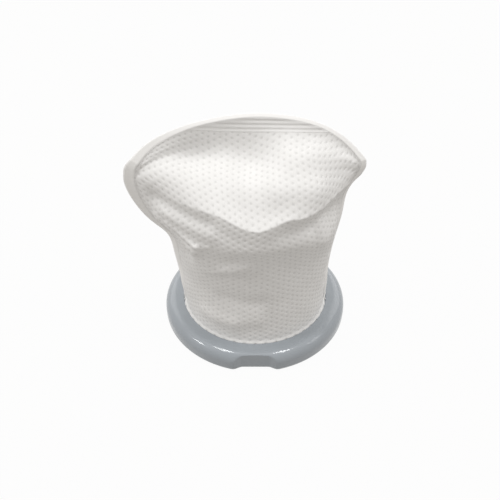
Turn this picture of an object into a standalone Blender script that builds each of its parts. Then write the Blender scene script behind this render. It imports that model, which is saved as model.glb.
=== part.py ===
"""Dust filter of a handheld vacuum cleaner: a welded pouch of dimpled filter cloth in a soft rim ring.

The ring lies flat and the pouch stands up out of it, mouth down. The pouch is two equal cloth
panels, front and back, welded to each other round their sides and their domed top, with a lip of
flat cloth outside the weld. Its foot is a round tube inside the ring's bore, on a narrow ledge.
Higher up the tube flattens towards the weld, and the stiff cloth has kinked: a V-shaped crease
crosses the front from one ear of the weld to the other, with a sloping face above it and an
overhang below.

Sizes are in millimetres and a mesh is written in metres. +Z is up, the ring's notch faces -Y, and
the ring stands on z = 0. The part is modelled about the ring's axis and then moved, so that the
origin is under the middle of its box.
"""

import math

import bmesh
import bpy
import numpy as np

MM = 0.001

# Rim ring, moulded in one piece.
RIM_RADIUS = 55.0
RIM_HEIGHT = 12.6
RIM_WIDTH = 11.8
BORE_RADIUS = RIM_RADIUS - RIM_WIDTH
RIM_TOP_ROUND = 6.5
RIM_FOOT_ROUND = 3.0
BORE_CHAMFER = 0.7
LEDGE_WIDTH = 2.4
LEDGE_HEIGHT = 2.0
NOTCH_DEPTH = 3.4
NOTCH_FLAT = 16.0
NOTCH_BLEND = 5.6

# Filter cloth, and the lip outside its weld.
CLOTH_THICKNESS = 0.9
HEM_CLEARANCE = 0.3
FOOT_WELD_ANGLE = 10.0
POUCH_HEIGHT = 138.0
LIP_WIDTH = 5.6
LIP_THICKNESS = 0.5
LIP_START = 0.8
LIP_RUN_IN = 18.0
WELD_CLEARANCE = 0.4
WELD_REACH = 3

# The V-shaped crease: how far it is drawn out at each of its points from left to right, and how
# wide. It is a soft bend at the left ear.
CREASE_CRESTS = (0.0, 0.1, 0.5, 1.1, 1.3, 1.3, 1.4, 1.6, 0.0)
CREASE_SPREAD = 2.4

# How finely the solids are divided.
CLOTH_STEP = 4.4
RIM_STEPS = 56
NOTCH_STEPS = 26
ROUND_STEPS = 5

FRONT = -1
BACK = 1

# The pouch's net, in its own millimetres: placed() fits it to the tube and to the pouch's height.
# Each side weld goes from just above the ring to an ear. Each of its points ends with the lip's
# width there, as a share of LIP_WIDTH, and the lip's turn backwards from straight out, in degrees.
# The lip was cut off centre, so it is wider on the left than on the right and over the top.
LEFT_WELD = [
    (-41.7, -8.0, 32.0, 0.6, 40),
    (-43.3, -9.0, 49.0, 0.7, 42),
    (-44.9, -11.5, 64.5, 0.9, 42),
    (-51.0, -16.0, 78.0, 1.0, 34),
    (-56.6, -21.0, 92.8, 1.0, 24),
    (-58.9, -24.0, 103.8, 1.0, 14),
    (-59.6, -24.8, 109.5, 1.0, 8),
    (-59.5, -25.0, 113.0, 1.0, 4),
    (-59.0, -25.1, 116.0, 1.0, 2),
    (-58.3, -25.1, 118.2, 0.95, 2),
]
RIGHT_WELD = [
    (40.8, -7.5, 32.0, 0.5, 45),
    (41.6, -7.5, 50.0, 0.55, 50),
    (43.3, -9.0, 65.5, 0.6, 52),
    (45.0, -10.5, 80.0, 0.6, 52),
    (46.0, -12.5, 95.0, 0.6, 50),
    (48.6, -14.0, 103.5, 0.6, 40),
    (50.3, -14.8, 107.5, 0.55, 25),
    (51.4, -15.4, 110.5, 0.5, 14),
    (52.0, -15.8, 112.7, 0.5, 8),
    (52.2, -16.0, 114.6, 0.5, 6),
]
# The weld over the top, from ear to ear.
TOP_WELD = [
    (-56.9, -24.9, 120.2, 0.85, 4),
    (-48.2, -20.7, 128.3, 0.6, 14),
    (-33.6, -16.5, 134.5, 0.4, 28),
    (-18.1, -12.8, 137.1, 0.35, 38),
    (-1.3, -10.5, 138.0, 0.35, 42),
    (14.0, -9.5, 136.5, 0.35, 42),
    (28.5, -9.5, 133.0, 0.35, 36),
    (42.8, -12.0, 125.5, 0.4, 22),
    (52.0, -16.0, 116.6, 0.5, 6),
]
# The front panel between the side welds, from the ring up, each row from left to right. The row
# named CREASE is the V-shaped crease, and the one before it runs just below, under the overhang.
FRONT_ROWS = [
    [
        (-38.5, -18, 32), (-30.5, -29.5, 32), (-17, -38.3, 32), (0, -41.5, 32),
        (16.5, -38.3, 32), (29.5, -30, 32), (37.7, -18.5, 32),
    ],
    [
        (-39, -19.5, 50), (-31, -31.5, 51), (-17.5, -39.5, 52), (0, -42.2, 52),
        (16.5, -39, 52), (30, -31, 51), (39.2, -19, 50),
    ],
    [
        (-39.5, -21, 64.5), (-32, -35, 67.5), (-18, -41, 69), (0, -42.8, 69.5),
        (16.5, -40, 69), (30.5, -33, 68), (41.3, -20.5, 66),
    ],
    [
        (-42, -24, 78.5), (-32.5, -39.5, 81), (-18, -44, 83), (0, -45.5, 82.5),
        (15.5, -42.3, 83.5), (30, -36.3, 83), (42.4, -21.5, 81),
    ],
    [
        (-46, -33, 96), (-31.5, -41, 97), (-17, -45.3, 95), (0.2, -47.4, 89.5),
        (14.5, -43.2, 94), (26.8, -36, 94.5), (42, -18.8, 97),
    ],
    [
        (-45, -32, 106.7), (-31, -38.8, 105.5), (-15.5, -44, 102.7), (0.5, -47, 97.3),
        (14.5, -43.8, 101.4), (25.6, -39.5, 101.2), (42.6, -22, 104.8),
    ],
    [
        (-45.5, -30, 113.4), (-31, -34.3, 111.4), (-15.5, -38, 107.8), (0.5, -41, 103.4),
        (15, -37.8, 107), (27.5, -34, 107.5), (43.3, -21, 109.5),
    ],
    [
        (-45.3, -26.3, 118.4), (-30.8, -26.5, 116.6), (-15.3, -27, 114.2), (0.3, -31, 112.4),
        (15, -30, 115.2), (28, -27, 115.2), (43.5, -18.6, 113.6),
    ],
    [
        (-44, -21.2, 122.4), (-30.5, -17.6, 120.2), (-15.1, -15.7, 119.1), (0.5, -18, 117.6),
        (14.5, -22, 122.8), (28, -20, 122.8), (43.5, -16.4, 118.6),
    ],
    [
        (-45.5, -20.8, 125.8), (-31.5, -16.3, 129), (-16, -12.5, 129.6), (-0.5, -11.8, 129),
        (14.3, -12, 129.8), (28.2, -12, 127.3), (43.2, -13.2, 121.6),
    ],
]
CREASE = 5
# The back panel's rows, from the ring up: how far each bows back from the side welds, and up.
BACK_BOWS = [
    (48.5, 0),
    (45.5, 3),
    (44, 7),
    (41.5, 11.5),
    (36, 13.5),
    (32, 13.5),
    (27.5, 14),
    (22.5, 15),
    (18, 16.5),
    (13.5, 18.5),
]
# Smaller folds in the front panel: from, to, half width, and height out of the cloth.
FOLDS = [
    ((-49, -28, 91.5), (-31, -39.5, 80), 3.6, 2.0),
    ((-47, -23, 86), (-39, -28, 66), 4.5, -3.0),
    ((34, -32, 92), (34, -32, 80), 4.0, 1.2),
    ((41.5, -16, 92), (40, -17, 60), 3.5, -1.2),
    ((-24, -40, 71), (-6, -42, 67), 3.5, 0.8),
    ((-20, -38, 30), (-2, -41, 30), 6.0, 0.7),
    ((-16, -40, 44), (2, -42, 44), 5.0, -0.8),
]


def smooth_step(value, low, high):
    """0 below low, 1 above high and a smooth ramp between them."""
    t = np.clip((np.asarray(value, float) - low) / (high - low), 0, 1)
    return t * t * (3 - 2 * t)


def unit(vectors):
    return vectors / np.linalg.norm(vectors, axis=-1)[..., None]


def clear_scene():
    for thing in list(bpy.data.objects):
        bpy.data.objects.remove(thing)


def tube_radius():
    """Radius of the middle of the cloth inside the ring's bore."""
    return BORE_RADIUS - HEM_CLEARANCE - CLOTH_THICKNESS / 2


def net_scale():
    """How much larger the pouch is than its net, across and up."""
    across = tube_radius() / math.hypot(*LEFT_WELD[0][:2])
    up = POUCH_HEIGHT / max(point[2] for point in TOP_WELD)
    return across, up


def placed(points):
    """Points of the net, fitted to the tube across and to the pouch's height upwards."""
    across, up = net_scale()
    return np.array(points, float)[..., :3] * (across, across, up)


def spline_weights(knots, places):
    """Matrix that turns values at the knots into a natural cubic spline's values at the places."""
    count = len(knots)
    gap = np.diff(knots)
    bend = np.eye(count)
    slope = np.zeros((count, count))
    for i in range(1, count - 1):
        bend[i, i - 1 : i + 2] = gap[i - 1], 2 * (gap[i - 1] + gap[i]), gap[i]
        slope[i, i - 1 : i + 2] = 6 / gap[i - 1], -6 / gap[i - 1] - 6 / gap[i], 6 / gap[i]
    second = np.linalg.solve(bend, slope)
    cell = np.clip(np.searchsorted(knots, places) - 1, 0, count - 2)
    b = ((places - knots[cell]) / gap[cell])[:, None]
    a = 1 - b
    swell = (gap[cell] ** 2 / 6)[:, None]
    straight = a * np.eye(count)[cell] + b * np.eye(count)[cell + 1]
    return straight + swell * ((a**3 - a) * second[cell] + (b**3 - b) * second[cell + 1])


def foot_row(height, side):
    """The part of the foot's circle that a panel covers, from the left weld round to the right."""
    weld = math.radians(FOOT_WELD_ANGLE)
    right = math.tau - weld if side == FRONT else -weld
    angles = np.linspace(math.pi + weld, right, len(TOP_WELD))
    x, y = tube_radius() * np.cos(angles), tube_radius() * np.sin(angles)
    return np.stack([x, y, np.full(len(angles), height)], axis=1)


def bowed_row(left, right, bow):
    """A row of the back panel, from the left weld to the right one, as far apart as the top's points."""
    tops = np.array(TOP_WELD, float)[:, 0]
    angles = np.arccos(1 - 2 * (tops - tops[0]) / (tops[-1] - tops[0]))
    middle, half = (left + right) / 2, (right - left) / 2
    return middle - np.cos(angles)[:, None] * half + np.sin(angles)[:, None] * bow


def panel_net(side):
    """The points that a panel's middle surface goes through: rows from the hem up to the top weld."""
    left, right = placed(LEFT_WELD), placed(RIGHT_WELD)
    net = [foot_row(LEDGE_HEIGHT + HEM_CLEARANCE, side), foot_row(RIM_HEIGHT, side)]
    for i in range(len(left)):
        if side == FRONT:
            net.append(np.array([left[i], *placed(FRONT_ROWS[i]), right[i]]))
        else:
            net.append(bowed_row(left[i], right[i], placed((0, *BACK_BOWS[i]))))
    net.append(placed(TOP_WELD))
    return np.array(net)


def lines_of(nets):
    """Where nets have their lines, by the mean distance between them, and where the mesh has its."""
    steps = [np.linalg.norm(np.diff(net, axis=0), axis=-1).mean(axis=-1) for net in nets]
    knots = np.concatenate([[0], np.cumsum(np.mean(steps, axis=0))])
    places = [0.0]
    for low, high in zip(knots, knots[1:]):
        parts = max(1, round((high - low) / CLOTH_STEP))
        places += list(np.linspace(low, high, parts + 1)[1:])
    return knots, np.array(places)


def panel_surfaces():
    """The panels' middle surfaces, as grids from the hem up and from left to right, and the lip's sizes."""
    nets = [panel_net(FRONT), panel_net(BACK)]
    knots_up, rows = lines_of(nets)
    knots_across, columns = lines_of([net.transpose(1, 0, 2) for net in nets])
    up, across = spline_weights(knots_up, rows), spline_weights(knots_across, columns)
    front, back = (np.einsum("ai,bj,ijk->abk", up, across, net) for net in nets)
    feet = len(knots_up) - len(LEFT_WELD) - 1
    inside = rows <= knots_up[feet - 1]
    for grid in (front, back):
        grid[inside, :, :2] = tube_radius() * unit(grid[inside, :, :2])
    from_crease = np.abs(rows - knots_up[feet + CREASE])
    crest = np.outer(np.exp(-from_crease / CREASE_SPREAD), across @ np.array(CREASE_CRESTS))
    return folded(front, crest), back, lip_values(up, across, feet)


def folded(grid, crest):
    """The front panel with its crease drawn out to a crest and its smaller folds pressed in."""
    scale = net_scale()[0]
    push = np.zeros(grid.shape[:2])
    for start, end, half_width, height in FOLDS:
        a, b = placed(start), placed(end)
        share = np.clip(((grid - a) @ (b - a)) / ((b - a) @ (b - a)), 0, 1)
        off = np.linalg.norm(grid - a - share[..., None] * (b - a), axis=-1)
        push += scale * height * np.exp(-((off / half_width / scale) ** 2))
    columns = np.arange(grid.shape[1])
    clear = smooth_step(np.minimum(columns, columns[::-1]), 0, WELD_REACH)
    push *= clear
    push[-1] = 0
    normals = unit(np.cross(np.gradient(grid, axis=1), np.gradient(grid, axis=0)))
    creased = grid + push[..., None] * normals
    creased[..., 1] += FRONT * crest * clear
    return creased


def lip_values(up, across, feet):
    """The lip's width and its turn backwards, in radians, at each point of the weld's line."""
    left, right, over = (np.array(weld)[:, 3:] for weld in (LEFT_WELD, RIGHT_WELD, TOP_WELD))
    left = up @ np.concatenate([[(left[0, 0], 0)] * feet, left, over[:1]])
    right = up @ np.concatenate([[(right[0, 0], 0)] * feet, right, over[-1:]])
    values = np.concatenate([left[:-1], (across @ over)[:-1], right[::-1]])
    return values[:, 0] * LIP_WIDTH, np.radians(values[:, 1])


def weld_line(grid):
    """A grid's welded border: up the left side, over the top and down the right side."""
    return np.concatenate([grid[:-1, 0], grid[-1, :-1], grid[::-1, -1]])


def lip_frames(line, turns):
    """At each point of the weld's line: the way out along the lip, and from its front to its back."""
    along = unit(np.gradient(line, axis=0))
    behind = np.array([0.0, 1.0, 0.0])
    behind = unit(behind - along * along[:, 1:2])
    out = np.cross(along, behind)
    cos, sin = np.cos(turns)[:, None], np.sin(turns)[:, None]
    return cos * out + sin * behind, cos * behind - sin * out


def parted(grid, side, behind):
    """A panel's grid moved to its own side of the weld's line, less and less away from the weld."""
    count = len(grid)
    shift = side * (WELD_CLEARANCE + LIP_THICKNESS) / 2 * behind
    left, top, right = shift[:count], shift[count - 1 : 1 - count], shift[::-1][:count]
    moved = grid.copy()
    for depth in range(WELD_REACH):
        share = 1 - depth / WELD_REACH
        end = count - depth
        moved[:end, depth] += share * left[:end]
        moved[:end, -1 - depth] += share * right[:end]
        moved[end - 1, depth + 1 : -1 - depth] += share * top[depth + 1 : -1 - depth]
    return moved


def panel_sheet(side, grid, out, behind, width):
    """One panel's middle surface with its share of the lip, as a bmesh, and the lip's vertices."""
    start = RIM_HEIGHT + LIP_START
    width = width * smooth_step(weld_line(grid)[:, 2], start, start + LIP_RUN_IN)
    grid = parted(grid, side, behind)
    shape = bmesh.new()
    net = [[shape.verts.new(point * MM) for point in row] for row in grid]
    weld = [row[0] for row in net[:-1]] + net[-1][:-1] + [row[-1] for row in net[::-1]]
    for r in range(len(net) - 1):
        for c in range(len(net[0]) - 1):
            shape.faces.new((net[r][c], net[r + 1][c], net[r + 1][c + 1], net[r][c + 1])[::side])
    edge = []
    for place, way, reach in zip(weld_line(grid), out, width):
        edge.append(shape.verts.new((place + way * reach) * MM) if reach > 0 else None)
    for i in range(len(weld) - 1):
        ahead = edge[i + 1] or edge[i]
        for corners in ((weld[i], weld[i + 1], ahead), (weld[i], ahead, edge[i])):
            if None not in corners and len(set(corners)) == len(corners):
                shape.faces.new(corners[::-side])
    shape.verts.index_update()
    lip = [v.index for pair in zip(weld, edge) if pair[1] for v in pair]
    return shape, lip


def panel_object(name, side, grid, lip_lines, material):
    """One panel, thickened about its middle surface, and thinner where it is welded."""
    shape, lip = panel_sheet(side, grid, *lip_lines)
    mesh = bpy.data.meshes.new(name)
    shape.to_mesh(mesh)
    shape.free()
    panel = bpy.data.objects.new(name, mesh)
    bpy.context.scene.collection.objects.link(panel)
    group = panel.vertex_groups.new(name="thickness")
    group.add(range(len(mesh.vertices)), 1.0, "REPLACE")
    group.add(lip, LIP_THICKNESS / CLOTH_THICKNESS, "REPLACE")
    thicken = panel.modifiers.new("cloth thickness", "SOLIDIFY")
    thicken.thickness = CLOTH_THICKNESS * MM
    thicken.offset = 0
    thicken.vertex_group = group.name
    mesh.shade_smooth()
    mesh.materials.append(material)


def quarter(centre_r, centre_z, radius, start):
    """A quarter round in the ring's section, clockwise from the start angle in degrees."""
    turns = np.radians(start - np.linspace(0, 90, ROUND_STEPS + 1))
    return [(centre_r + radius * math.cos(t), centre_z + radius * math.sin(t)) for t in turns]


def rim_section(reach):
    """The ring's section, as radius and height, clockwise from its lower inner edge."""
    ledge = BORE_RADIUS - LEDGE_WIDTH
    section = [(ledge, 0.0), (ledge, LEDGE_HEIGHT), (BORE_RADIUS, LEDGE_HEIGHT)]
    section += [(BORE_RADIUS, RIM_HEIGHT - BORE_CHAMFER), (BORE_RADIUS + BORE_CHAMFER, RIM_HEIGHT)]
    top = quarter(RIM_RADIUS - RIM_TOP_ROUND, RIM_HEIGHT - RIM_TOP_ROUND, RIM_TOP_ROUND, 90)
    section += [(min(radius, reach), height) for radius, height in top]
    return section + quarter(reach - RIM_FOOT_ROUND, RIM_FOOT_ROUND, RIM_FOOT_ROUND, 0)


def notch_reach(angle):
    """How far out the ring reaches at an angle from the notch's middle."""
    across = abs(RIM_RADIUS * math.sin(angle))
    if math.cos(angle) < 0 or across > NOTCH_FLAT / 2 + NOTCH_BLEND:
        return RIM_RADIUS
    flat = (RIM_RADIUS - NOTCH_DEPTH) / math.cos(angle)
    share = float(smooth_step(across, NOTCH_FLAT / 2, NOTCH_FLAT / 2 + NOTCH_BLEND))
    return flat + (RIM_RADIUS - flat) * share


def rim_angles():
    """Angles round the ring from the notch's middle, closer together across the notch."""
    half = math.asin((NOTCH_FLAT / 2 + NOTCH_BLEND) / RIM_RADIUS)
    across = np.linspace(-half, half, NOTCH_STEPS + 1)
    round_back = np.linspace(half, math.tau - half, RIM_STEPS + 1)
    return [*across, *round_back[1:-1]]


def rim_object(material):
    """The ring: its section set round the circle, cut back to a flat in the notch."""
    shape = bmesh.new()
    loops = []
    for angle in rim_angles():
        x, y = math.sin(angle), -math.cos(angle)
        section = rim_section(notch_reach(angle))
        loops.append([shape.verts.new((r * x * MM, r * y * MM, z * MM)) for r, z in section])
    for near, far in zip(loops, loops[1:] + loops[:1]):
        for i in range(len(near)):
            j = (i + 1) % len(near)
            shape.faces.new((near[i], near[j], far[j], far[i]))
    mesh = bpy.data.meshes.new("rim_ring")
    shape.to_mesh(mesh)
    shape.free()
    rim = bpy.data.objects.new("rim_ring", mesh)
    bpy.context.scene.collection.objects.link(rim)
    mesh.shade_smooth()
    mesh.set_sharp_from_angle(angle=math.radians(40))
    mesh.materials.append(material)


def plain_material(name, colour, roughness):
    material = bpy.data.materials.new(name)
    material.use_nodes = True
    shader = material.node_tree.nodes["Principled BSDF"]
    shader.inputs["Base Color"].default_value = (*colour, 1.0)
    shader.inputs["Roughness"].default_value = roughness
    shader.inputs["Metallic"].default_value = 0.0
    return material


def centre_part():
    """Moves the part along X and Y, so that its box has its middle over the origin."""
    bpy.context.view_layer.update()
    graph = bpy.context.evaluated_depsgraph_get()
    corners = []
    for thing in bpy.data.objects:
        corners += list(thing.evaluated_get(graph).bound_box)
    middle = (np.min(corners, axis=0) + np.max(corners, axis=0)) / 2
    for thing in bpy.data.objects:
        thing.location = (-middle[0], -middle[1], 0)


def main():
    clear_scene()
    front, back, (width, turns) = panel_surfaces()
    lip_lines = (*lip_frames(weld_line(front), turns), width)
    cloth = (0.83, 0.82, 0.80)
    panel_object("front_panel", FRONT, front, lip_lines, plain_material("front cloth", cloth, 0.9))
    panel_object("back_panel", BACK, back, lip_lines, plain_material("back cloth", cloth, 0.9))
    rim_object(plain_material("rim rubber", (0.42, 0.46, 0.49), 0.35))
    centre_part()


main()
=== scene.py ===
"""The looks of a handheld vacuum cleaner's dust filter: a dimpled cloth pouch in a blue-grey rim ring.

Lengths are in millimetres from the ring's axis until a mesh is written, in metres, in the part's
own frame. Those of the floor, the lamps and the camera are in metres throughout.
"""

import math

import bpy
import numpy as np
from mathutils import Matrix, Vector


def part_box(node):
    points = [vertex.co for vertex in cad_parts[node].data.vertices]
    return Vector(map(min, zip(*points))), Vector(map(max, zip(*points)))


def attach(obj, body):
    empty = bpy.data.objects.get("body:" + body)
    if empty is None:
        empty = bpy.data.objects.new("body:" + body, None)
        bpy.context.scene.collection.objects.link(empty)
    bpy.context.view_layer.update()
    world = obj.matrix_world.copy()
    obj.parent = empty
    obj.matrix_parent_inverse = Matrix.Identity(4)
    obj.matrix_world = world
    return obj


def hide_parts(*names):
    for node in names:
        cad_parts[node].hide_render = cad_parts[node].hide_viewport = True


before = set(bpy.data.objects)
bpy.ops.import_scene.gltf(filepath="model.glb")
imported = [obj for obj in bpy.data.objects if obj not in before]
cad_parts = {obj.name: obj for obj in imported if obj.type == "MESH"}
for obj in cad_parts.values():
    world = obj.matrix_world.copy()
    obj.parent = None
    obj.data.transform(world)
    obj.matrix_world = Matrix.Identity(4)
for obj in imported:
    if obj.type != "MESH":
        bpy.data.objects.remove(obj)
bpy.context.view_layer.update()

MM = 0.001

# The solids' sizes.
RIM_RADIUS = 55.0
RIM_HEIGHT = 12.6
RIM_WIDTH = 11.8
BORE_RADIUS = RIM_RADIUS - RIM_WIDTH
RIM_TOP_ROUND = 6.5
RIM_FOOT_ROUND = 3.0
BORE_CHAMFER = 0.7
LEDGE_WIDTH = 2.4
LEDGE_HEIGHT = 2.0
NOTCH_DEPTH = 3.4
NOTCH_FLAT = 16.0
NOTCH_BLEND = 5.6
CLOTH_THICKNESS = 0.9
HEM_CLEARANCE = 0.3
FOOT_WELD_ANGLE = 10.0
POUCH_HEIGHT = 138.0
LIP_WIDTH = 5.6
LIP_THICKNESS = 0.5
CREASE_CRESTS = (0.0, 0.1, 0.5, 1.1, 1.3, 1.3, 1.4, 1.6, 0.0)
CREASE_SPREAD = 2.4

# How finely the cloth and the ring are divided, and the turn, in degrees, that shades as an edge.
CLOTH_STEP = 0.56
LIP_STEPS = 6
RIM_STEPS = 300
ROUND_STEPS = 16
RIM_EDGE_TURN = 32.0

FRONT = -1
BACK = 1

rim_low, rim_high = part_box("rim_ring")
RING_X = (rim_low.x + rim_high.x) / 2
RING_Y = rim_high.y - RIM_RADIUS * MM

# The pouch's net, in its own millimetres: placed() fits it to the tube and to the pouch's height.
# Each side weld goes from just above the ring to an ear. Each of its points ends with the lip's
# width there, as a share of LIP_WIDTH, and the lip's turn backwards from straight out, in degrees.
# The lip was cut off centre, so it is wider on the left than on the right and over the top.
LEFT_WELD = [
    (-41.7, -8.0, 32.0, 0.6, 40),
    (-43.3, -9.0, 49.0, 0.7, 42),
    (-44.9, -11.5, 64.5, 0.9, 42),
    (-51.0, -16.0, 78.0, 1.0, 34),
    (-56.6, -21.0, 92.8, 1.0, 24),
    (-58.9, -24.0, 103.8, 1.0, 14),
    (-59.6, -24.8, 109.5, 1.0, 8),
    (-59.5, -25.0, 113.0, 1.0, 4),
    (-59.0, -25.1, 116.0, 1.0, 2),
    (-58.3, -25.1, 118.2, 0.95, 2),
]
RIGHT_WELD = [
    (40.8, -7.5, 32.0, 0.5, 45),
    (41.6, -7.5, 50.0, 0.55, 50),
    (43.3, -9.0, 65.5, 0.6, 52),
    (45.0, -10.5, 80.0, 0.6, 52),
    (46.0, -12.5, 95.0, 0.6, 50),
    (48.6, -14.0, 103.5, 0.6, 40),
    (50.3, -14.8, 107.5, 0.55, 25),
    (51.4, -15.4, 110.5, 0.5, 14),
    (52.0, -15.8, 112.7, 0.5, 8),
    (52.2, -16.0, 114.6, 0.5, 6),
]
# The weld over the top, from ear to ear.
TOP_WELD = [
    (-56.9, -24.9, 120.2, 0.85, 4),
    (-48.2, -20.7, 128.3, 0.6, 14),
    (-33.6, -16.5, 134.5, 0.4, 28),
    (-18.1, -12.8, 137.1, 0.35, 38),
    (-1.3, -10.5, 138.0, 0.35, 42),
    (14.0, -9.5, 136.5, 0.35, 42),
    (28.5, -9.5, 133.0, 0.35, 36),
    (42.8, -12.0, 125.5, 0.4, 22),
    (52.0, -16.0, 116.6, 0.5, 6),
]
# The front panel between the side welds, from the ring up, each row from left to right. The row
# named CREASE is the V-shaped crease, and the one before it runs just below, under the overhang.
FRONT_ROWS = [
    [
        (-38.5, -18, 32), (-30.5, -29.5, 32), (-17, -38.3, 32), (0, -41.5, 32),
        (16.5, -38.3, 32), (29.5, -30, 32), (37.7, -18.5, 32),
    ],
    [
        (-39, -19.5, 50), (-31, -31.5, 51), (-17.5, -39.5, 52), (0, -42.2, 52),
        (16.5, -39, 52), (30, -31, 51), (39.2, -19, 50),
    ],
    [
        (-39.5, -21, 64.5), (-32, -35, 67.5), (-18, -41, 69), (0, -42.8, 69.5),
        (16.5, -40, 69), (30.5, -33, 68), (41.3, -20.5, 66),
    ],
    [
        (-42, -24, 78.5), (-32.5, -39.5, 81), (-18, -44, 83), (0, -45.5, 82.5),
        (15.5, -42.3, 83.5), (30, -36.3, 83), (42.4, -21.5, 81),
    ],
    [
        (-46, -33, 96), (-31.5, -41, 97), (-17, -45.3, 95), (0.2, -47.4, 89.5),
        (14.5, -43.2, 94), (26.8, -36, 94.5), (42, -18.8, 97),
    ],
    [
        (-45, -32, 106.7), (-31, -38.8, 105.5), (-15.5, -44, 102.7), (0.5, -47, 97.3),
        (14.5, -43.8, 101.4), (25.6, -39.5, 101.2), (42.6, -22, 104.8),
    ],
    [
        (-45.5, -30, 113.4), (-31, -34.3, 111.4), (-15.5, -38, 107.8), (0.5, -41, 103.4),
        (15, -37.8, 107), (27.5, -34, 107.5), (43.3, -21, 109.5),
    ],
    [
        (-45.3, -26.3, 118.4), (-30.8, -26.5, 116.6), (-15.3, -27, 114.2), (0.3, -31, 112.4),
        (15, -30, 115.2), (28, -27, 115.2), (43.5, -18.6, 113.6),
    ],
    [
        (-44, -21.2, 122.4), (-30.5, -17.6, 120.2), (-15.1, -15.7, 119.1), (0.5, -18, 117.6),
        (14.5, -22, 122.8), (28, -20, 122.8), (43.5, -16.4, 118.6),
    ],
    [
        (-45.5, -20.8, 125.8), (-31.5, -16.3, 129), (-16, -12.5, 129.6), (-0.5, -11.8, 129),
        (14.3, -12, 129.8), (28.2, -12, 127.3), (43.2, -13.2, 121.6),
    ],
]
CREASE = 5
# The back panel's rows, from the ring up: how far each bows back from the side welds, and up.
BACK_BOWS = [
    (48.5, 0),
    (45.5, 3),
    (44, 7),
    (41.5, 11.5),
    (36, 13.5),
    (32, 13.5),
    (27.5, 14),
    (22.5, 15),
    (18, 16.5),
    (13.5, 18.5),
]
# Smaller folds in the front panel: from, to, half width, and height out of the cloth.
FOLDS = [
    ((-49, -28, 91.5), (-31, -39.5, 80), 3.6, 2.0),
    ((-47, -23, 86), (-39, -28, 66), 4.5, -3.0),
    ((34, -32, 92), (34, -32, 80), 4.0, 1.2),
    ((41.5, -16, 92), (40, -17, 60), 3.5, -1.2),
    ((-24, -40, 71), (-6, -42, 67), 3.5, 0.8),
    ((-20, -38, 30), (-2, -41, 30), 6.0, 0.7),
    ((-16, -40, 44), (2, -42, 44), 5.0, -0.8),
]
# Finer folds, in the scene only: from, to, half width, and height.
FINE_FOLDS = [
    ((29, -13.5, 130), (46, -13.5, 124), 0.8, 0.35),
    ((30.5, -15.5, 128), (48.5, -14.5, 121), 0.8, 0.4),
    ((32, -17.5, 126), (50.5, -15.5, 118), 0.8, 0.4),
    ((34.5, -20, 123), (51.5, -16, 115), 0.8, 0.4),
    ((-44, -32, 103), (-35, -38.5, 88), 1.2, 0.5),
    ((-41, -34, 102), (-31, -40, 87), 1.2, 0.45),
    ((-51, -30.5, 104), (-24, -43.5, 98), 4.0, -1.9),
    ((-46, -34, 98), (-16, -44.5, 90), 4.0, 0.6),
    ((-44, -34, 92), (-30, -42.5, 83.5), 1.6, 1.2),
    ((-30, -42.5, 83.5), (-24, -44, 84), 1.8, 0.5),
    ((-45, -24, 81), (-36, -33, 69), 4.0, -2.0),
    ((-12, -46.5, 84), (24, -39, 86), 6.5, 2.0),
    ((12, -34, 110), (28, -31, 110), 8.0, 2.6),
    ((30.5, -34, 93), (31, -33.5, 82), 3.0, 1.2),
    ((43.5, -17, 92), (42.5, -20, 76), 2.6, -1.2),
    ((-27, -40.5, 63), (-4, -43.5, 71.5), 3.5, 1.5),
    ((-30, -33, 27), (-12, -40, 27), 5.0, 1.2),
    ((-18, -39.5, 44), (0, -42, 42), 4.0, -0.8),
    ((0, -41.5, 60), (2, -41.5, 28), 1.6, 0.25),
]
# How far from the welds the folds, the cloth's loft and the dimples grow to their full height.
FOLD_REACH = 8
LOFT_REACH = 6
DIMPLE_REACH = 3
# The faint unevenness of handled cloth: the wavelengths, the height as a share of the wavelength,
# where it starts above the hem and where it is full, and each panel's seed.
RUMPLE_WAVES = np.linspace(14, 46, 9)
RUMPLE_SHARE = 0.0028
RUMPLE_START = (12, 30)
RUMPLE_SEEDS = (3, 8)
# The dimples: their pitch, the cell that holds two of them, how deep they are in the mesh, and the
# distances from a dimple's middle where its wall starts and ends.
DIMPLE_PITCH = 3.4
DIMPLE_CELL = (DIMPLE_PITCH * math.sqrt(3), DIMPLE_PITCH)
DIMPLE_DEPTH = 0.13
DIMPLE_WALL = (0.2, 1.6)
# The ribs, level on a slope of this tilt in degrees: their pitch, and how far down they reach from
# the lip's highest point. The dimples fade out between these distances below the weld's.
RIB_TILT = 40.0
RIB_PITCH = 1.95
RIB_BAND = 8.8
DIMPLE_FADE = (8, 6)
# How far the cloth stands out along the line where it is joined to the ring's inner edge.
BEAD = 1.0
# Over how many points to each side the lip rounds an ear.
EAR_SPREAD = 10
# Inside the ring each side weld is drawn in, so that its lip fits the bore, and higher up less.
FOOT_LIP = 0.3
FOOT_LIP_REACH = 0.35
FOOT_LIP_SPREAD = 2.5
FOOT_LIP_TOP = 32.0

# The cloth's bump: the height of each part of it, in millimetres.
PIT_BUMP = -0.1
PILLOW_BUMP = 0.02
CLOTH_BUMP = 0.06
WELD_BUMP = -0.08
RIB_BUMP = 0.09
FIBRE_BUMP = 0.05
# Colours. Where there are two, the material drifts between them.
CLOTH_WHITES = ((0.80, 0.80, 0.79, 1), (0.87, 0.87, 0.865, 1))
# The dimples' grey is partly the greyer pressed cloth and partly painted shade in their hollows.
PIT_GREY_AND_SHADE = (0.62, 0.62, 0.61, 1)
PIT_SHARE = 0.5
# The lip's lighter white is partly its smooth pressed cloth and partly painted light, which stands in for
# light shining through the thin lip.
LIP_WHITE_AND_PAINTED_LIGHT = (0.95, 0.95, 0.94, 1)
RIM_BLUES = ((0.295, 0.324, 0.352, 1), (0.325, 0.355, 0.384, 1))

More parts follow.
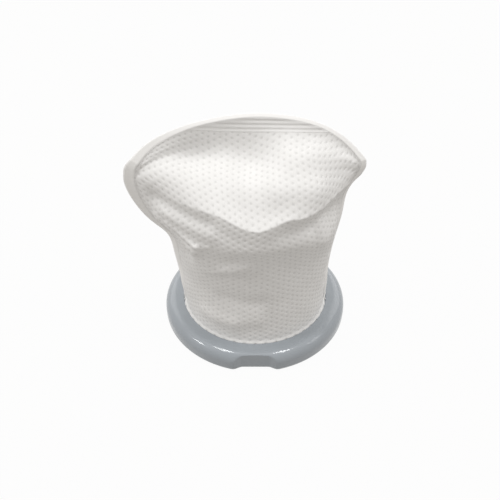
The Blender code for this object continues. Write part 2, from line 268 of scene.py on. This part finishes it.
# What the surround gives the object, the floor's colour, and how white the floor shows.
AMBIENT = (0.575, 0.553, 0.533, 1)
WHITE = (1, 1, 1, 1)
FLOOR_COLOUR = (0.4, 0.388, 0.372, 1)
FLOOR_WHITE = 0.965
FLOOR_SIZE = 6.0
FLOOR_DROP = 0.0004
# Each lamp's name, place, aim, width and power in watts.
LAMPS = [
    ("key", (-0.34, -0.10, 1.08), (0, 0, 0.07), 0.2, 2.5),
    ("fill", (0.34, -0.14, 1.08), (0, 0, 0.07), 0.2, 2.5),
    ("left", (-0.8, -0.2, 0.75), (0, 0, 0.07), 0.18, 1.8),
    ("right", (0.85, -0.1, 0.8), (0, 0, 0.07), 0.3, 0.8),
    ("back left", (-0.7, 0.85, 0.7), (0, 0, 0.03), 0.8, 2.6),
    ("back right", (0.7, 0.85, 0.7), (0, 0, 0.03), 0.8, 2.6),
]
# The camera: its tilt in degrees, its distance, the point it looks at, and its lens and sensor.
CAMERA_ELEVATION = 40.3
CAMERA_DISTANCE = 0.381
CAMERA_AIM = (RING_X - 0.003, RING_Y, 0.0453)
CAMERA_LENS = 46.8
CAMERA_SENSOR = 36.0

# The sockets of a Mix node's two colours, and of the colour that it gives.
MIX_FIRST = 6
MIX_SECOND = 7
MIX_RESULT = 2


def smooth_step(value, low, high):
    """0 below low, 1 above high and a smooth ramp between them."""
    t = np.clip((np.asarray(value, float) - low) / (high - low), 0, 1)
    return t * t * (3 - 2 * t)


def unit(vectors):
    """The vectors, each brought to a length of 1."""
    return vectors / np.maximum(np.linalg.norm(vectors, axis=-1)[..., None], 1e-12)


def tube_radius():
    """Radius of the middle of the cloth inside the ring's bore."""
    return BORE_RADIUS - HEM_CLEARANCE - CLOTH_THICKNESS / 2


def placed(points):
    """Points of the net, fitted to the tube across and to the pouch's height upwards."""
    across = tube_radius() / math.hypot(*LEFT_WELD[0][:2])
    up = POUCH_HEIGHT / max(point[2] for point in TOP_WELD)
    return np.array(points, float)[..., :3] * (across, across, up)


def spline_weights(knots, places):
    """Matrix that turns values at the knots into a natural cubic spline's values at the places."""
    count = len(knots)
    gap = np.diff(knots)
    bend = np.eye(count)
    slope = np.zeros((count, count))
    for i in range(1, count - 1):
        bend[i, i - 1 : i + 2] = gap[i - 1], 2 * (gap[i - 1] + gap[i]), gap[i]
        slope[i, i - 1 : i + 2] = 6 / gap[i - 1], -6 / gap[i - 1] - 6 / gap[i], 6 / gap[i]
    second = np.linalg.solve(bend, slope)
    cell = np.clip(np.searchsorted(knots, places) - 1, 0, count - 2)
    b = ((places - knots[cell]) / gap[cell])[:, None]
    a = 1 - b
    swell = (gap[cell] ** 2 / 6)[:, None]
    straight = a * np.eye(count)[cell] + b * np.eye(count)[cell + 1]
    return straight + swell * ((a**3 - a) * second[cell] + (b**3 - b) * second[cell + 1])


def foot_row(height, side):
    """The part of the foot's circle that a panel covers, from the left weld round to the right."""
    weld = math.radians(FOOT_WELD_ANGLE)
    right = math.tau - weld if side == FRONT else -weld
    angles = np.linspace(math.pi + weld, right, len(TOP_WELD))
    x, y = tube_radius() * np.cos(angles), tube_radius() * np.sin(angles)
    return np.stack([x, y, np.full(len(angles), height)], axis=1)


def bowed_row(left, right, bow):
    """A row of the back panel, from the left weld to the right one, as far apart as the top's points."""
    tops = np.array(TOP_WELD, float)[:, 0]
    angles = np.arccos(1 - 2 * (tops - tops[0]) / (tops[-1] - tops[0]))
    middle, half = (left + right) / 2, (right - left) / 2
    return middle - np.cos(angles)[:, None] * half + np.sin(angles)[:, None] * bow


def panel_net(side):
    """The points that a panel's middle surface goes through: rows from the hem up to the top weld."""
    left, right = placed(LEFT_WELD), placed(RIGHT_WELD)
    net = [foot_row(LEDGE_HEIGHT + HEM_CLEARANCE, side), foot_row(RIM_HEIGHT, side)]
    for i in range(len(left)):
        if side == FRONT:
            net.append(np.array([left[i], *placed(FRONT_ROWS[i]), right[i]]))
        else:
            net.append(bowed_row(left[i], right[i], placed((0, *BACK_BOWS[i]))))
    net.append(placed(TOP_WELD))
    return np.array(net)


def lines_of(nets):
    """Where nets have their lines, by the mean distance between them, and where the mesh has its."""
    steps = [np.linalg.norm(np.diff(net, axis=0), axis=-1).mean(axis=-1) for net in nets]
    knots = np.concatenate([[0], np.cumsum(np.mean(steps, axis=0))])
    places = [0.0]
    for low, high in zip(knots, knots[1:]):
        parts = max(1, round((high - low) / CLOTH_STEP))
        places += list(np.linspace(low, high, parts + 1)[1:])
    return knots, np.array(places)


def normals_of(grid):
    """A grid's normals: out of the pouch on the front panel, and into it on the back one."""
    return unit(np.cross(np.gradient(grid, axis=1), np.gradient(grid, axis=0)))


def from_edges(grid, reach):
    """0 on a grid's welded edges, rising to 1 at a distance of reach from them."""
    rows, columns = grid.shape[:2]
    across = np.minimum(np.arange(columns), np.arange(columns)[::-1])[None, :] * CLOTH_STEP
    down = np.arange(rows)[::-1][:, None] * CLOTH_STEP
    return smooth_step(across, 0, reach) * smooth_step(down, 0, reach)


def flat_places(grid):
    """Each point's place on the flat cloth: across from its middle, and up from the hem."""
    across = np.linalg.norm(np.diff(grid, axis=1), axis=-1)
    across = np.concatenate([np.zeros((len(grid), 1)), np.cumsum(across, axis=1)], axis=1)
    across -= across[:, -1:] / 2
    up = np.linalg.norm(np.diff(grid, axis=0), axis=-1)
    up = np.concatenate([np.zeros((1, grid.shape[1])), np.cumsum(up, axis=0)], axis=0)
    return np.stack([across, up], axis=-1)


def drawn_in(grid):
    """A grid with its foot drawn in along the side welds."""
    columns = np.arange(grid.shape[1])
    from_side = np.minimum(columns, columns[::-1]) * CLOTH_STEP
    low = 1 - smooth_step(grid[..., 2], RIM_HEIGHT, FOOT_LIP_TOP)
    pull = FOOT_LIP * low * np.exp(-((from_side / FOOT_LIP_SPREAD) ** 2))
    moved = grid.copy()
    moved[..., :2] -= pull[..., None] * unit(grid[..., :2])
    return moved


def pressed(grid, folds):
    """A grid with folds pressed into it: each a ridge, or a valley where its height is negative."""
    push = np.zeros(grid.shape[:2])
    for start, end, half_width, height in folds:
        a, b = placed(start), placed(end)
        share = np.clip(((grid - a) @ (b - a)) / ((b - a) @ (b - a)), 0, 1)
        off = np.linalg.norm(grid - a - share[..., None] * (b - a), axis=-1)
        push += height * np.exp(-((off / half_width) ** 2))
    return grid + (push * from_edges(grid, FOLD_REACH))[..., None] * normals_of(grid)


def rumpled(grid, flat, seed):
    """A grid with the faint unevenness of stiff cloth that has been handled."""
    random = np.random.default_rng(seed)
    push = np.zeros(grid.shape[:2])
    for wave in RUMPLE_WAVES:
        angle, phase = random.uniform(0, math.tau, 2)
        along = flat[..., 0] * math.cos(angle) + flat[..., 1] * math.sin(angle)
        push += RUMPLE_SHARE * wave * np.sin(math.tau * along / wave + phase)
    inside = smooth_step(flat[..., 1], *RUMPLE_START) * from_edges(grid, FOLD_REACH)
    return grid + (push * inside)[..., None] * normals_of(grid)


def rib_level(points, side):
    """How far up each point is, on the slope that the ribs are level on."""
    tilt = math.radians(RIB_TILT)
    return points[..., 2] * math.cos(tilt) - side * points[..., 1] * math.sin(tilt)


def dimples(grid, flat, side):
    """1 at the middle of each dimple, and 0 between them and along the ribbed band and the welds."""
    nearest = np.full(grid.shape[:2], DIMPLE_PITCH)
    for offset in (0.0, 0.5):
        within = (flat / DIMPLE_CELL + offset) % 1 - 0.5
        nearest = np.minimum(nearest, np.linalg.norm(within * DIMPLE_CELL, axis=-1))
    level = rib_level(grid, side)
    low, high = level.max() - DIMPLE_FADE[0], level.max() - DIMPLE_FADE[1]
    plain = 1 - smooth_step(level, low, high)
    return (1 - smooth_step(nearest, *DIMPLE_WALL)) * plain * from_edges(grid, DIMPLE_REACH)


def lip_values(up, across, feet):
    """The lip's width and its turn backwards, in radians, at each point of the weld's line."""
    left, right, over = (np.array(weld)[:, 3:] for weld in (LEFT_WELD, RIGHT_WELD, TOP_WELD))
    foot = [((FOOT_LIP + FOOT_LIP_REACH) / LIP_WIDTH, 0)] * feet
    left = up @ np.concatenate([foot, left, over[:1]])
    right = up @ np.concatenate([foot, right, over[-1:]])
    values = np.concatenate([left[:-1], (across @ over)[:-1], right[::-1]])
    return values[:, 0] * LIP_WIDTH, np.radians(values[:, 1])


def panel_surfaces():
    """Both panels' surfaces, their places on the flat cloth, and the lip's width and turn."""
    nets = [panel_net(FRONT), panel_net(BACK)]
    knots_up, rows = lines_of(nets)
    knots_across, columns = lines_of([net.transpose(1, 0, 2) for net in nets])
    up, across = spline_weights(knots_up, rows), spline_weights(knots_across, columns)
    front, back = (np.einsum("ai,bj,ijk->abk", up, across, net) for net in nets)
    feet = len(knots_up) - len(LEFT_WELD) - 1
    inside = rows <= knots_up[feet - 1]
    for grid in (front, back):
        grid[inside, :, :2] = tube_radius() * unit(grid[inside, :, :2])
    flats = [flat_places(front), flat_places(back)]
    front, back = drawn_in(front), drawn_in(back)

    from_crease = np.abs(rows - knots_up[feet + CREASE])
    crest = np.outer(np.exp(-from_crease / CREASE_SPREAD), across @ np.array(CREASE_CRESTS))
    front = pressed(front, FOLDS)
    front[..., 1] += FRONT * crest * from_edges(front, FOLD_REACH)
    front = pressed(front, FINE_FOLDS)
    grids = [rumpled(*cloth) for cloth in zip((front, back), flats, RUMPLE_SEEDS)]

    for grid, flat, side in zip(grids, flats, (FRONT, BACK)):
        loft = from_edges(grid, LOFT_REACH) * CLOTH_THICKNESS / 2
        out = loft - DIMPLE_DEPTH * dimples(grid, flat, side)
        grid -= side * out[..., None] * normals_of(grid)
        bead = BEAD * np.exp(-(((grid[..., 2:] - RIM_HEIGHT) / BEAD) ** 2))
        grid[..., :2] += bead * unit(grid[..., :2])
    return grids, flats, lip_values(up, across, feet)


def weld_line(grid):
    """A grid's welded border: up the left side, over the top and down the right side."""
    return np.concatenate([grid[:-1, 0], grid[-1, :-1], grid[::-1, -1]])


def lip_frames(line, turns):
    """At each point of the weld's line: the way out along the lip, and from its front to its back."""
    along = unit(np.gradient(line, axis=0))
    padded = np.pad(along, ((EAR_SPREAD, EAR_SPREAD), (0, 0)), mode="edge")
    along = unit(sum(padded[i : i + len(along)] for i in range(2 * EAR_SPREAD + 1)))
    behind = np.array([0.0, 1.0, 0.0])
    behind = unit(behind - along * along[:, 1:2])
    out = np.cross(along, behind)
    cos, sin = np.cos(turns)[:, None], np.sin(turns)[:, None]
    return cos * out + sin * behind, cos * behind - sin * out


def lipped_panel(side, grid, flat, lip):
    """A panel with its share of the lip: its points, their flat places, their lip share and the quads.

    The lip's last strip closes its edge, up to the middle, where the other panel's strip ends too.
    """
    width, turns = lip
    line, flat_line = weld_line(grid), weld_line(flat)
    out, behind = lip_frames(line, turns)
    outward = unit(flat_line - flat_line.mean(axis=0))
    shift = side * LIP_THICKNESS / 2 * behind

    rows, columns = grid.shape[:2]
    number = np.arange(rows * columns).reshape(rows, columns)
    points, places = [grid.reshape(-1, 3)], [flat.reshape(-1, 2)]
    strips = [weld_line(number)]
    points[0][strips[0]] += shift
    for k in range(1, LIP_STEPS + 2):
        reach = (width * min(k / LIP_STEPS, 1))[:, None]
        strips.append(len(line) * (k - 1) + rows * columns + np.arange(len(line)))
        points.append(line + shift * (k <= LIP_STEPS) + out * reach)
        places.append(flat_line + outward * reach)
    points, places = np.concatenate(points), np.concatenate(places)
    lipped = np.arange(len(points)) >= rows * columns

    corners = (number[:-1, :-1], number[1:, :-1], number[1:, 1:], number[:-1, 1:])
    quads = [np.stack(corners, axis=-1).reshape(-1, 4)]
    for inner, outer in zip(strips, strips[1:]):
        quads.append(np.stack([inner[:-1], outer[:-1], outer[1:], inner[1:]], axis=-1))
    return points, places, lipped, np.concatenate(quads)[:, ::side]


def linked(name, points, quads, material):
    """A smooth object of this mesh, moved from the ring's axis to the part's frame."""
    mesh = bpy.data.meshes.new(name)
    mesh.from_pydata((points * MM + (RING_X, RING_Y, 0)).tolist(), [], quads.tolist())
    mesh.materials.append(material)
    mesh.shade_smooth()
    thing = bpy.data.objects.new(name, mesh)
    bpy.context.scene.collection.objects.link(thing)
    return thing


def panel(name, side, grid, flat, lip, material):
    """One panel of cloth with its share of the lip, as one open sheet."""
    points, places, lipped, quads = lipped_panel(side, grid, flat, lip)
    sheet = linked(name, points, quads, material)
    mesh = sheet.data
    layer = mesh.uv_layers.new(name="cloth")
    corners = np.zeros(len(mesh.loops), int)
    mesh.loops.foreach_get("vertex_index", corners)
    layer.uv.foreach_set("vector", (places[corners] * MM).astype(np.float32).ravel())
    level = rib_level(points, side)
    level += RIB_BAND - level.max()
    for attribute, values in (("lip", lipped), ("rib", level)):
        values = values.astype(np.float32)
        mesh.attributes.new(attribute, "FLOAT", "POINT").data.foreach_set("value", values)
    return sheet


def quarter(centre_r, centre_z, radius, start):
    """A quarter round in the ring's section, clockwise from the start angle in degrees."""
    turns = np.radians(start - np.linspace(0, 90, ROUND_STEPS + 1))
    return [(centre_r + radius * math.cos(t), centre_z + radius * math.sin(t)) for t in turns]


def rim_section(reach):
    """The ring's section, as radius and height, clockwise from its lower inner edge."""
    ledge = BORE_RADIUS - LEDGE_WIDTH
    section = [(ledge, 0.0), (ledge, LEDGE_HEIGHT), (BORE_RADIUS, LEDGE_HEIGHT)]
    section += [(BORE_RADIUS, RIM_HEIGHT - BORE_CHAMFER), (BORE_RADIUS + BORE_CHAMFER, RIM_HEIGHT)]
    top = quarter(RIM_RADIUS - RIM_TOP_ROUND, RIM_HEIGHT - RIM_TOP_ROUND, RIM_TOP_ROUND, 90)
    section += [(min(radius, reach), height) for radius, height in top]
    return section + quarter(reach - RIM_FOOT_ROUND, RIM_FOOT_ROUND, RIM_FOOT_ROUND, 0)


def notch_reach(angle):
    """How far out the ring reaches at an angle from the notch's middle."""
    across = abs(RIM_RADIUS * math.sin(angle))
    if math.cos(angle) < 0 or across > NOTCH_FLAT / 2 + NOTCH_BLEND:
        return RIM_RADIUS
    flat = (RIM_RADIUS - NOTCH_DEPTH) / math.cos(angle)
    share = float(smooth_step(across, NOTCH_FLAT / 2, NOTCH_FLAT / 2 + NOTCH_BLEND))
    return flat + (RIM_RADIUS - flat) * share


def rim(name, material):
    """The ring, as in the solids but with smooth rounds."""
    points = []
    for angle in np.linspace(0, math.tau, RIM_STEPS, endpoint=False):
        x, y = math.sin(angle), -math.cos(angle)
        points.append([(r * x, r * y, z) for r, z in rim_section(notch_reach(angle))])
    points = np.array(points)
    loops, count = points.shape[:2]
    number = np.arange(loops * count).reshape(loops, count)
    after, above = np.roll(number, -1, axis=0), np.roll(number, -1, axis=1)
    quads = np.stack([number, above, np.roll(after, -1, axis=1), after], axis=-1).reshape(-1, 4)
    ring = linked(name, points.reshape(-1, 3), quads, material)
    ring.data.set_sharp_from_angle(angle=math.radians(RIM_EDGE_TURN))
    return ring


class Nodes:
    """A material's nodes, made and linked one call at a time."""

    def __init__(self, name):
        self.material = bpy.data.materials.new(name)
        self.material.use_nodes = True
        self.tree = self.material.node_tree
        self.shader = self.tree.nodes["Principled BSDF"]

    def link(self, value, socket):
        if isinstance(value, bpy.types.NodeSocket):
            self.tree.links.new(value, socket)
        else:
            socket.default_value = value

    def add(self, kind, *inputs, **settings):
        """A node of this kind, its inputs set or linked in order, and its first output."""
        node = self.tree.nodes.new("ShaderNode" + kind)
        for key, value in settings.items():
            setattr(node, key, value)
        for value, socket in zip(inputs, node.inputs):
            if value is not None:
                self.link(value, socket)
        return node.outputs[0]

    def math(self, operation, *inputs):
        return self.add("Math", *inputs, operation=operation)

    def vector(self, operation, *inputs):
        node = self.add("VectorMath", *inputs, operation=operation).node
        return node.outputs["Value" if operation == "LENGTH" else "Vector"]

    def ramp(self, value, low, high, start=0.0, end=1.0):
        return self.add("MapRange", value, low, high, start, end, interpolation_type="SMOOTHSTEP")

    def noise(self, place, scale, detail):
        return self.add("TexNoise", place, None, scale, detail)

    def attribute(self, name):
        return self.add("Attribute", attribute_name=name).node.outputs["Fac"]

    def mix(self, share, first, second):
        """A colour between two others."""
        node = self.tree.nodes.new("ShaderNodeMix")
        node.data_type = "RGBA"
        for value, socket in zip((share, first, second), (0, MIX_FIRST, MIX_SECOND)):
            self.link(value, node.inputs[socket])
        return node.outputs[MIX_RESULT]

    def finish(self, colour, height, distance):
        """Links the colour, and the height as bump, which is this many metres for a height of 1."""
        bump = self.add("Bump", 1.0, distance).node
        self.link(height, bump.inputs["Height"])
        self.link(colour, self.shader.inputs["Base Color"])
        self.link(bump.outputs["Normal"], self.shader.inputs["Normal"])
        return self.material


def cloth_material(name):
    """White nonwoven, pressed with rows of dimples, ribbed along its upper edge and smooth on the lip."""
    n = Nodes(name)
    place = n.add("UVMap", uv_map="cloth")
    millimetres = n.vector("SCALE", place)
    millimetres.node.inputs["Scale"].default_value = 1 / MM
    nearest = None
    for offset in (0.0, 0.5):
        tile = n.vector("DIVIDE", millimetres, (*DIMPLE_CELL, 1))
        tile = n.vector("ADD", tile, (offset, offset, 0))
        within = n.vector("SUBTRACT", n.vector("FRACTION", tile), (0.5, 0.5, 0))
        away = n.vector("LENGTH", n.vector("MULTIPLY", within, (*DIMPLE_CELL, 0)))
        nearest = away if nearest is None else n.math("MINIMUM", nearest, away)

    lip, level = n.attribute("lip"), n.attribute("rib")
    on_lip = n.ramp(lip, 0.1, 0.6)
    cloth = n.math("SUBTRACT", 1.0, on_lip)
    ribbed = n.math("MULTIPLY", n.ramp(level, 0, 0.5), cloth)
    pit = n.ramp(nearest, 0.1, 1.05, 1.0, 0.0)
    pit = n.math("MULTIPLY", pit, n.math("SUBTRACT", cloth, ribbed))
    pillow = n.math("MULTIPLY", n.ramp(nearest, 0.5, 1.9), cloth)
    weld = n.math("MULTIPLY", n.ramp(lip, 0.0, 0.3), n.ramp(lip, 0.4, 0.9, 1.0, 0.0))
    rib = n.math("SINE", n.math("MULTIPLY", level, math.tau / RIB_PITCH))
    rib = n.math("MULTIPLY", rib, ribbed)
    fibre = n.noise(millimetres, 1.6, 3.0)
    relief = n.math("MULTIPLY", pit, PIT_BUMP)
    bumps = (
        (pillow, PILLOW_BUMP),
        (cloth, CLOTH_BUMP),
        (weld, WELD_BUMP),
        (rib, RIB_BUMP),
        (fibre, FIBRE_BUMP),
    )
    for share, height in bumps:
        relief = n.math("MULTIPLY_ADD", share, height, relief)

    colour = n.mix(n.noise(millimetres, 0.09, 2.0), *CLOTH_WHITES)
    # Darkens each dimple: partly the greyer pressed cloth, partly painted shade in its hollow.
    colour = n.mix(n.math("MULTIPLY", pit, PIT_SHARE), colour, PIT_GREY_AND_SHADE)
    # Lightens the lip: partly its smooth pressed cloth, partly painted light for light shining through
    # it.
    colour = n.mix(on_lip, colour, LIP_WHITE_AND_PAINTED_LIGHT)
    n.shader.inputs["Roughness"].default_value = 0.85
    n.shader.inputs["Specular IOR Level"].default_value = 0.25
    return n.finish(colour, relief, MM)


def rim_material():
    """Smooth blue-grey moulded rubber."""
    n = Nodes("rim rubber")
    place = n.add("TexCoord").node.outputs["Object"]
    grain = n.noise(place, 900.0, 2.0)
    n.link(n.ramp(grain, 0.3, 0.7, 0.34, 0.4), n.shader.inputs["Roughness"])
    n.shader.inputs["Specular IOR Level"].default_value = 0.3
    n.shader.inputs["Coat Weight"].default_value = 0.7
    n.shader.inputs["Coat Roughness"].default_value = 0.06
    return n.finish(n.mix(n.noise(place, 35.0, 2.0), *RIM_BLUES), grain, 0.02 * MM)


def backdrop_rays(tree):
    """1 for a ray that shows the backdrop itself, also in gloss and through glass, and 0 for light."""
    path = tree.nodes.new("ShaderNodeLightPath")
    total = path.outputs["Is Camera Ray"]
    for name in ("Is Glossy Ray", "Is Transmission Ray"):
        add = tree.nodes.new("ShaderNodeMath")
        add.operation = "MAXIMUM"
        tree.links.new(total, add.inputs[0])
        tree.links.new(path.outputs[name], add.inputs[1])
        total = add.outputs[0]
    return total


def add_surround():
    """A surround that shows white and gives the object its plain level of light."""
    world = bpy.data.worlds.new("studio")
    world.use_nodes = True
    bpy.context.scene.world = world
    tree = world.node_tree
    level = tree.nodes.new("ShaderNodeMix")
    level.data_type = "RGBA"
    level.inputs[MIX_FIRST].default_value = AMBIENT
    level.inputs[MIX_SECOND].default_value = WHITE
    tree.links.new(backdrop_rays(tree), level.inputs[0])
    tree.links.new(level.outputs[MIX_RESULT], tree.nodes["Background"].inputs["Color"])


def floor_material():
    """A pale floor that keeps the object's shadow, and shows almost white."""
    material = bpy.data.materials.new("floor")
    material.use_nodes = True
    tree = material.node_tree
    shader = tree.nodes["Principled BSDF"]
    shader.inputs["Base Color"].default_value = FLOOR_COLOUR
    shader.inputs["Roughness"].default_value = 0.9
    glow = tree.nodes.new("ShaderNodeEmission")
    mixer = tree.nodes.new("ShaderNodeMixShader")
    share = tree.nodes.new("ShaderNodeMath")
    share.operation = "MULTIPLY"
    share.inputs[1].default_value = FLOOR_WHITE
    tree.links.new(backdrop_rays(tree), share.inputs[0])
    tree.links.new(share.outputs[0], mixer.inputs[0])
    tree.links.new(shader.outputs[0], mixer.inputs[1])
    tree.links.new(glow.outputs[0], mixer.inputs[2])
    tree.links.new(mixer.outputs[0], tree.nodes["Material Output"].inputs["Surface"])
    return material


def add_floor():
    """The floor, just under the ring."""
    mesh = bpy.data.meshes.new("floor")
    low, high = -FLOOR_SIZE, FLOOR_SIZE
    corners = [(low, low, 0), (high, low, 0), (high, high, 0), (low, high, 0)]
    mesh.from_pydata(corners, [], [(0, 1, 2, 3)])
    mesh.materials.append(floor_material())
    floor = bpy.data.objects.new("floor", mesh)
    floor.location.z = -FLOOR_DROP
    bpy.context.scene.collection.objects.link(floor)


def aimed(thing, place, way):
    """Puts a lamp or a camera in its place, looking this way, and links it."""
    thing.location = place
    thing.rotation_mode = "QUATERNION"
    thing.rotation_quaternion = way.to_track_quat("-Z", "Y")
    bpy.context.scene.collection.objects.link(thing)


def add_lamps():
    """Soft lamps above and around the object."""
    for name, place, aim, width, power in LAMPS:
        lamp = bpy.data.objects.new(name, bpy.data.lights.new(name, "AREA"))
        lamp.data.size = width
        lamp.data.energy = power
        aimed(lamp, place, Vector(aim) - Vector(place))


def add_camera():
    """The photograph's camera."""
    camera = bpy.data.objects.new("camera", bpy.data.cameras.new("camera"))
    camera.data.sensor_width = CAMERA_SENSOR
    camera.data.lens = CAMERA_LENS
    angle = math.radians(CAMERA_ELEVATION)
    back = Vector((0, -math.cos(angle), math.sin(angle)))
    aimed(camera, Vector(CAMERA_AIM) + back * CAMERA_DISTANCE, -back)
    bpy.context.scene.camera = camera


add_surround()
add_floor()
add_lamps()
add_camera()
bpy.context.scene.view_settings.view_transform = "Standard"

grids, flats, lip = panel_surfaces()
panels = (("front_cloth", FRONT, "front_panel"), ("back_cloth", BACK, "back_panel"))
for (name, side, node), grid, flat in zip(panels, grids, flats):
    sheet = panel(name, side, grid, flat, lip, cloth_material(name))
    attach(sheet, "root")
    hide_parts(node)
ring = rim("ring", rim_material())
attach(ring, "root")
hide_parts("rim_ring")
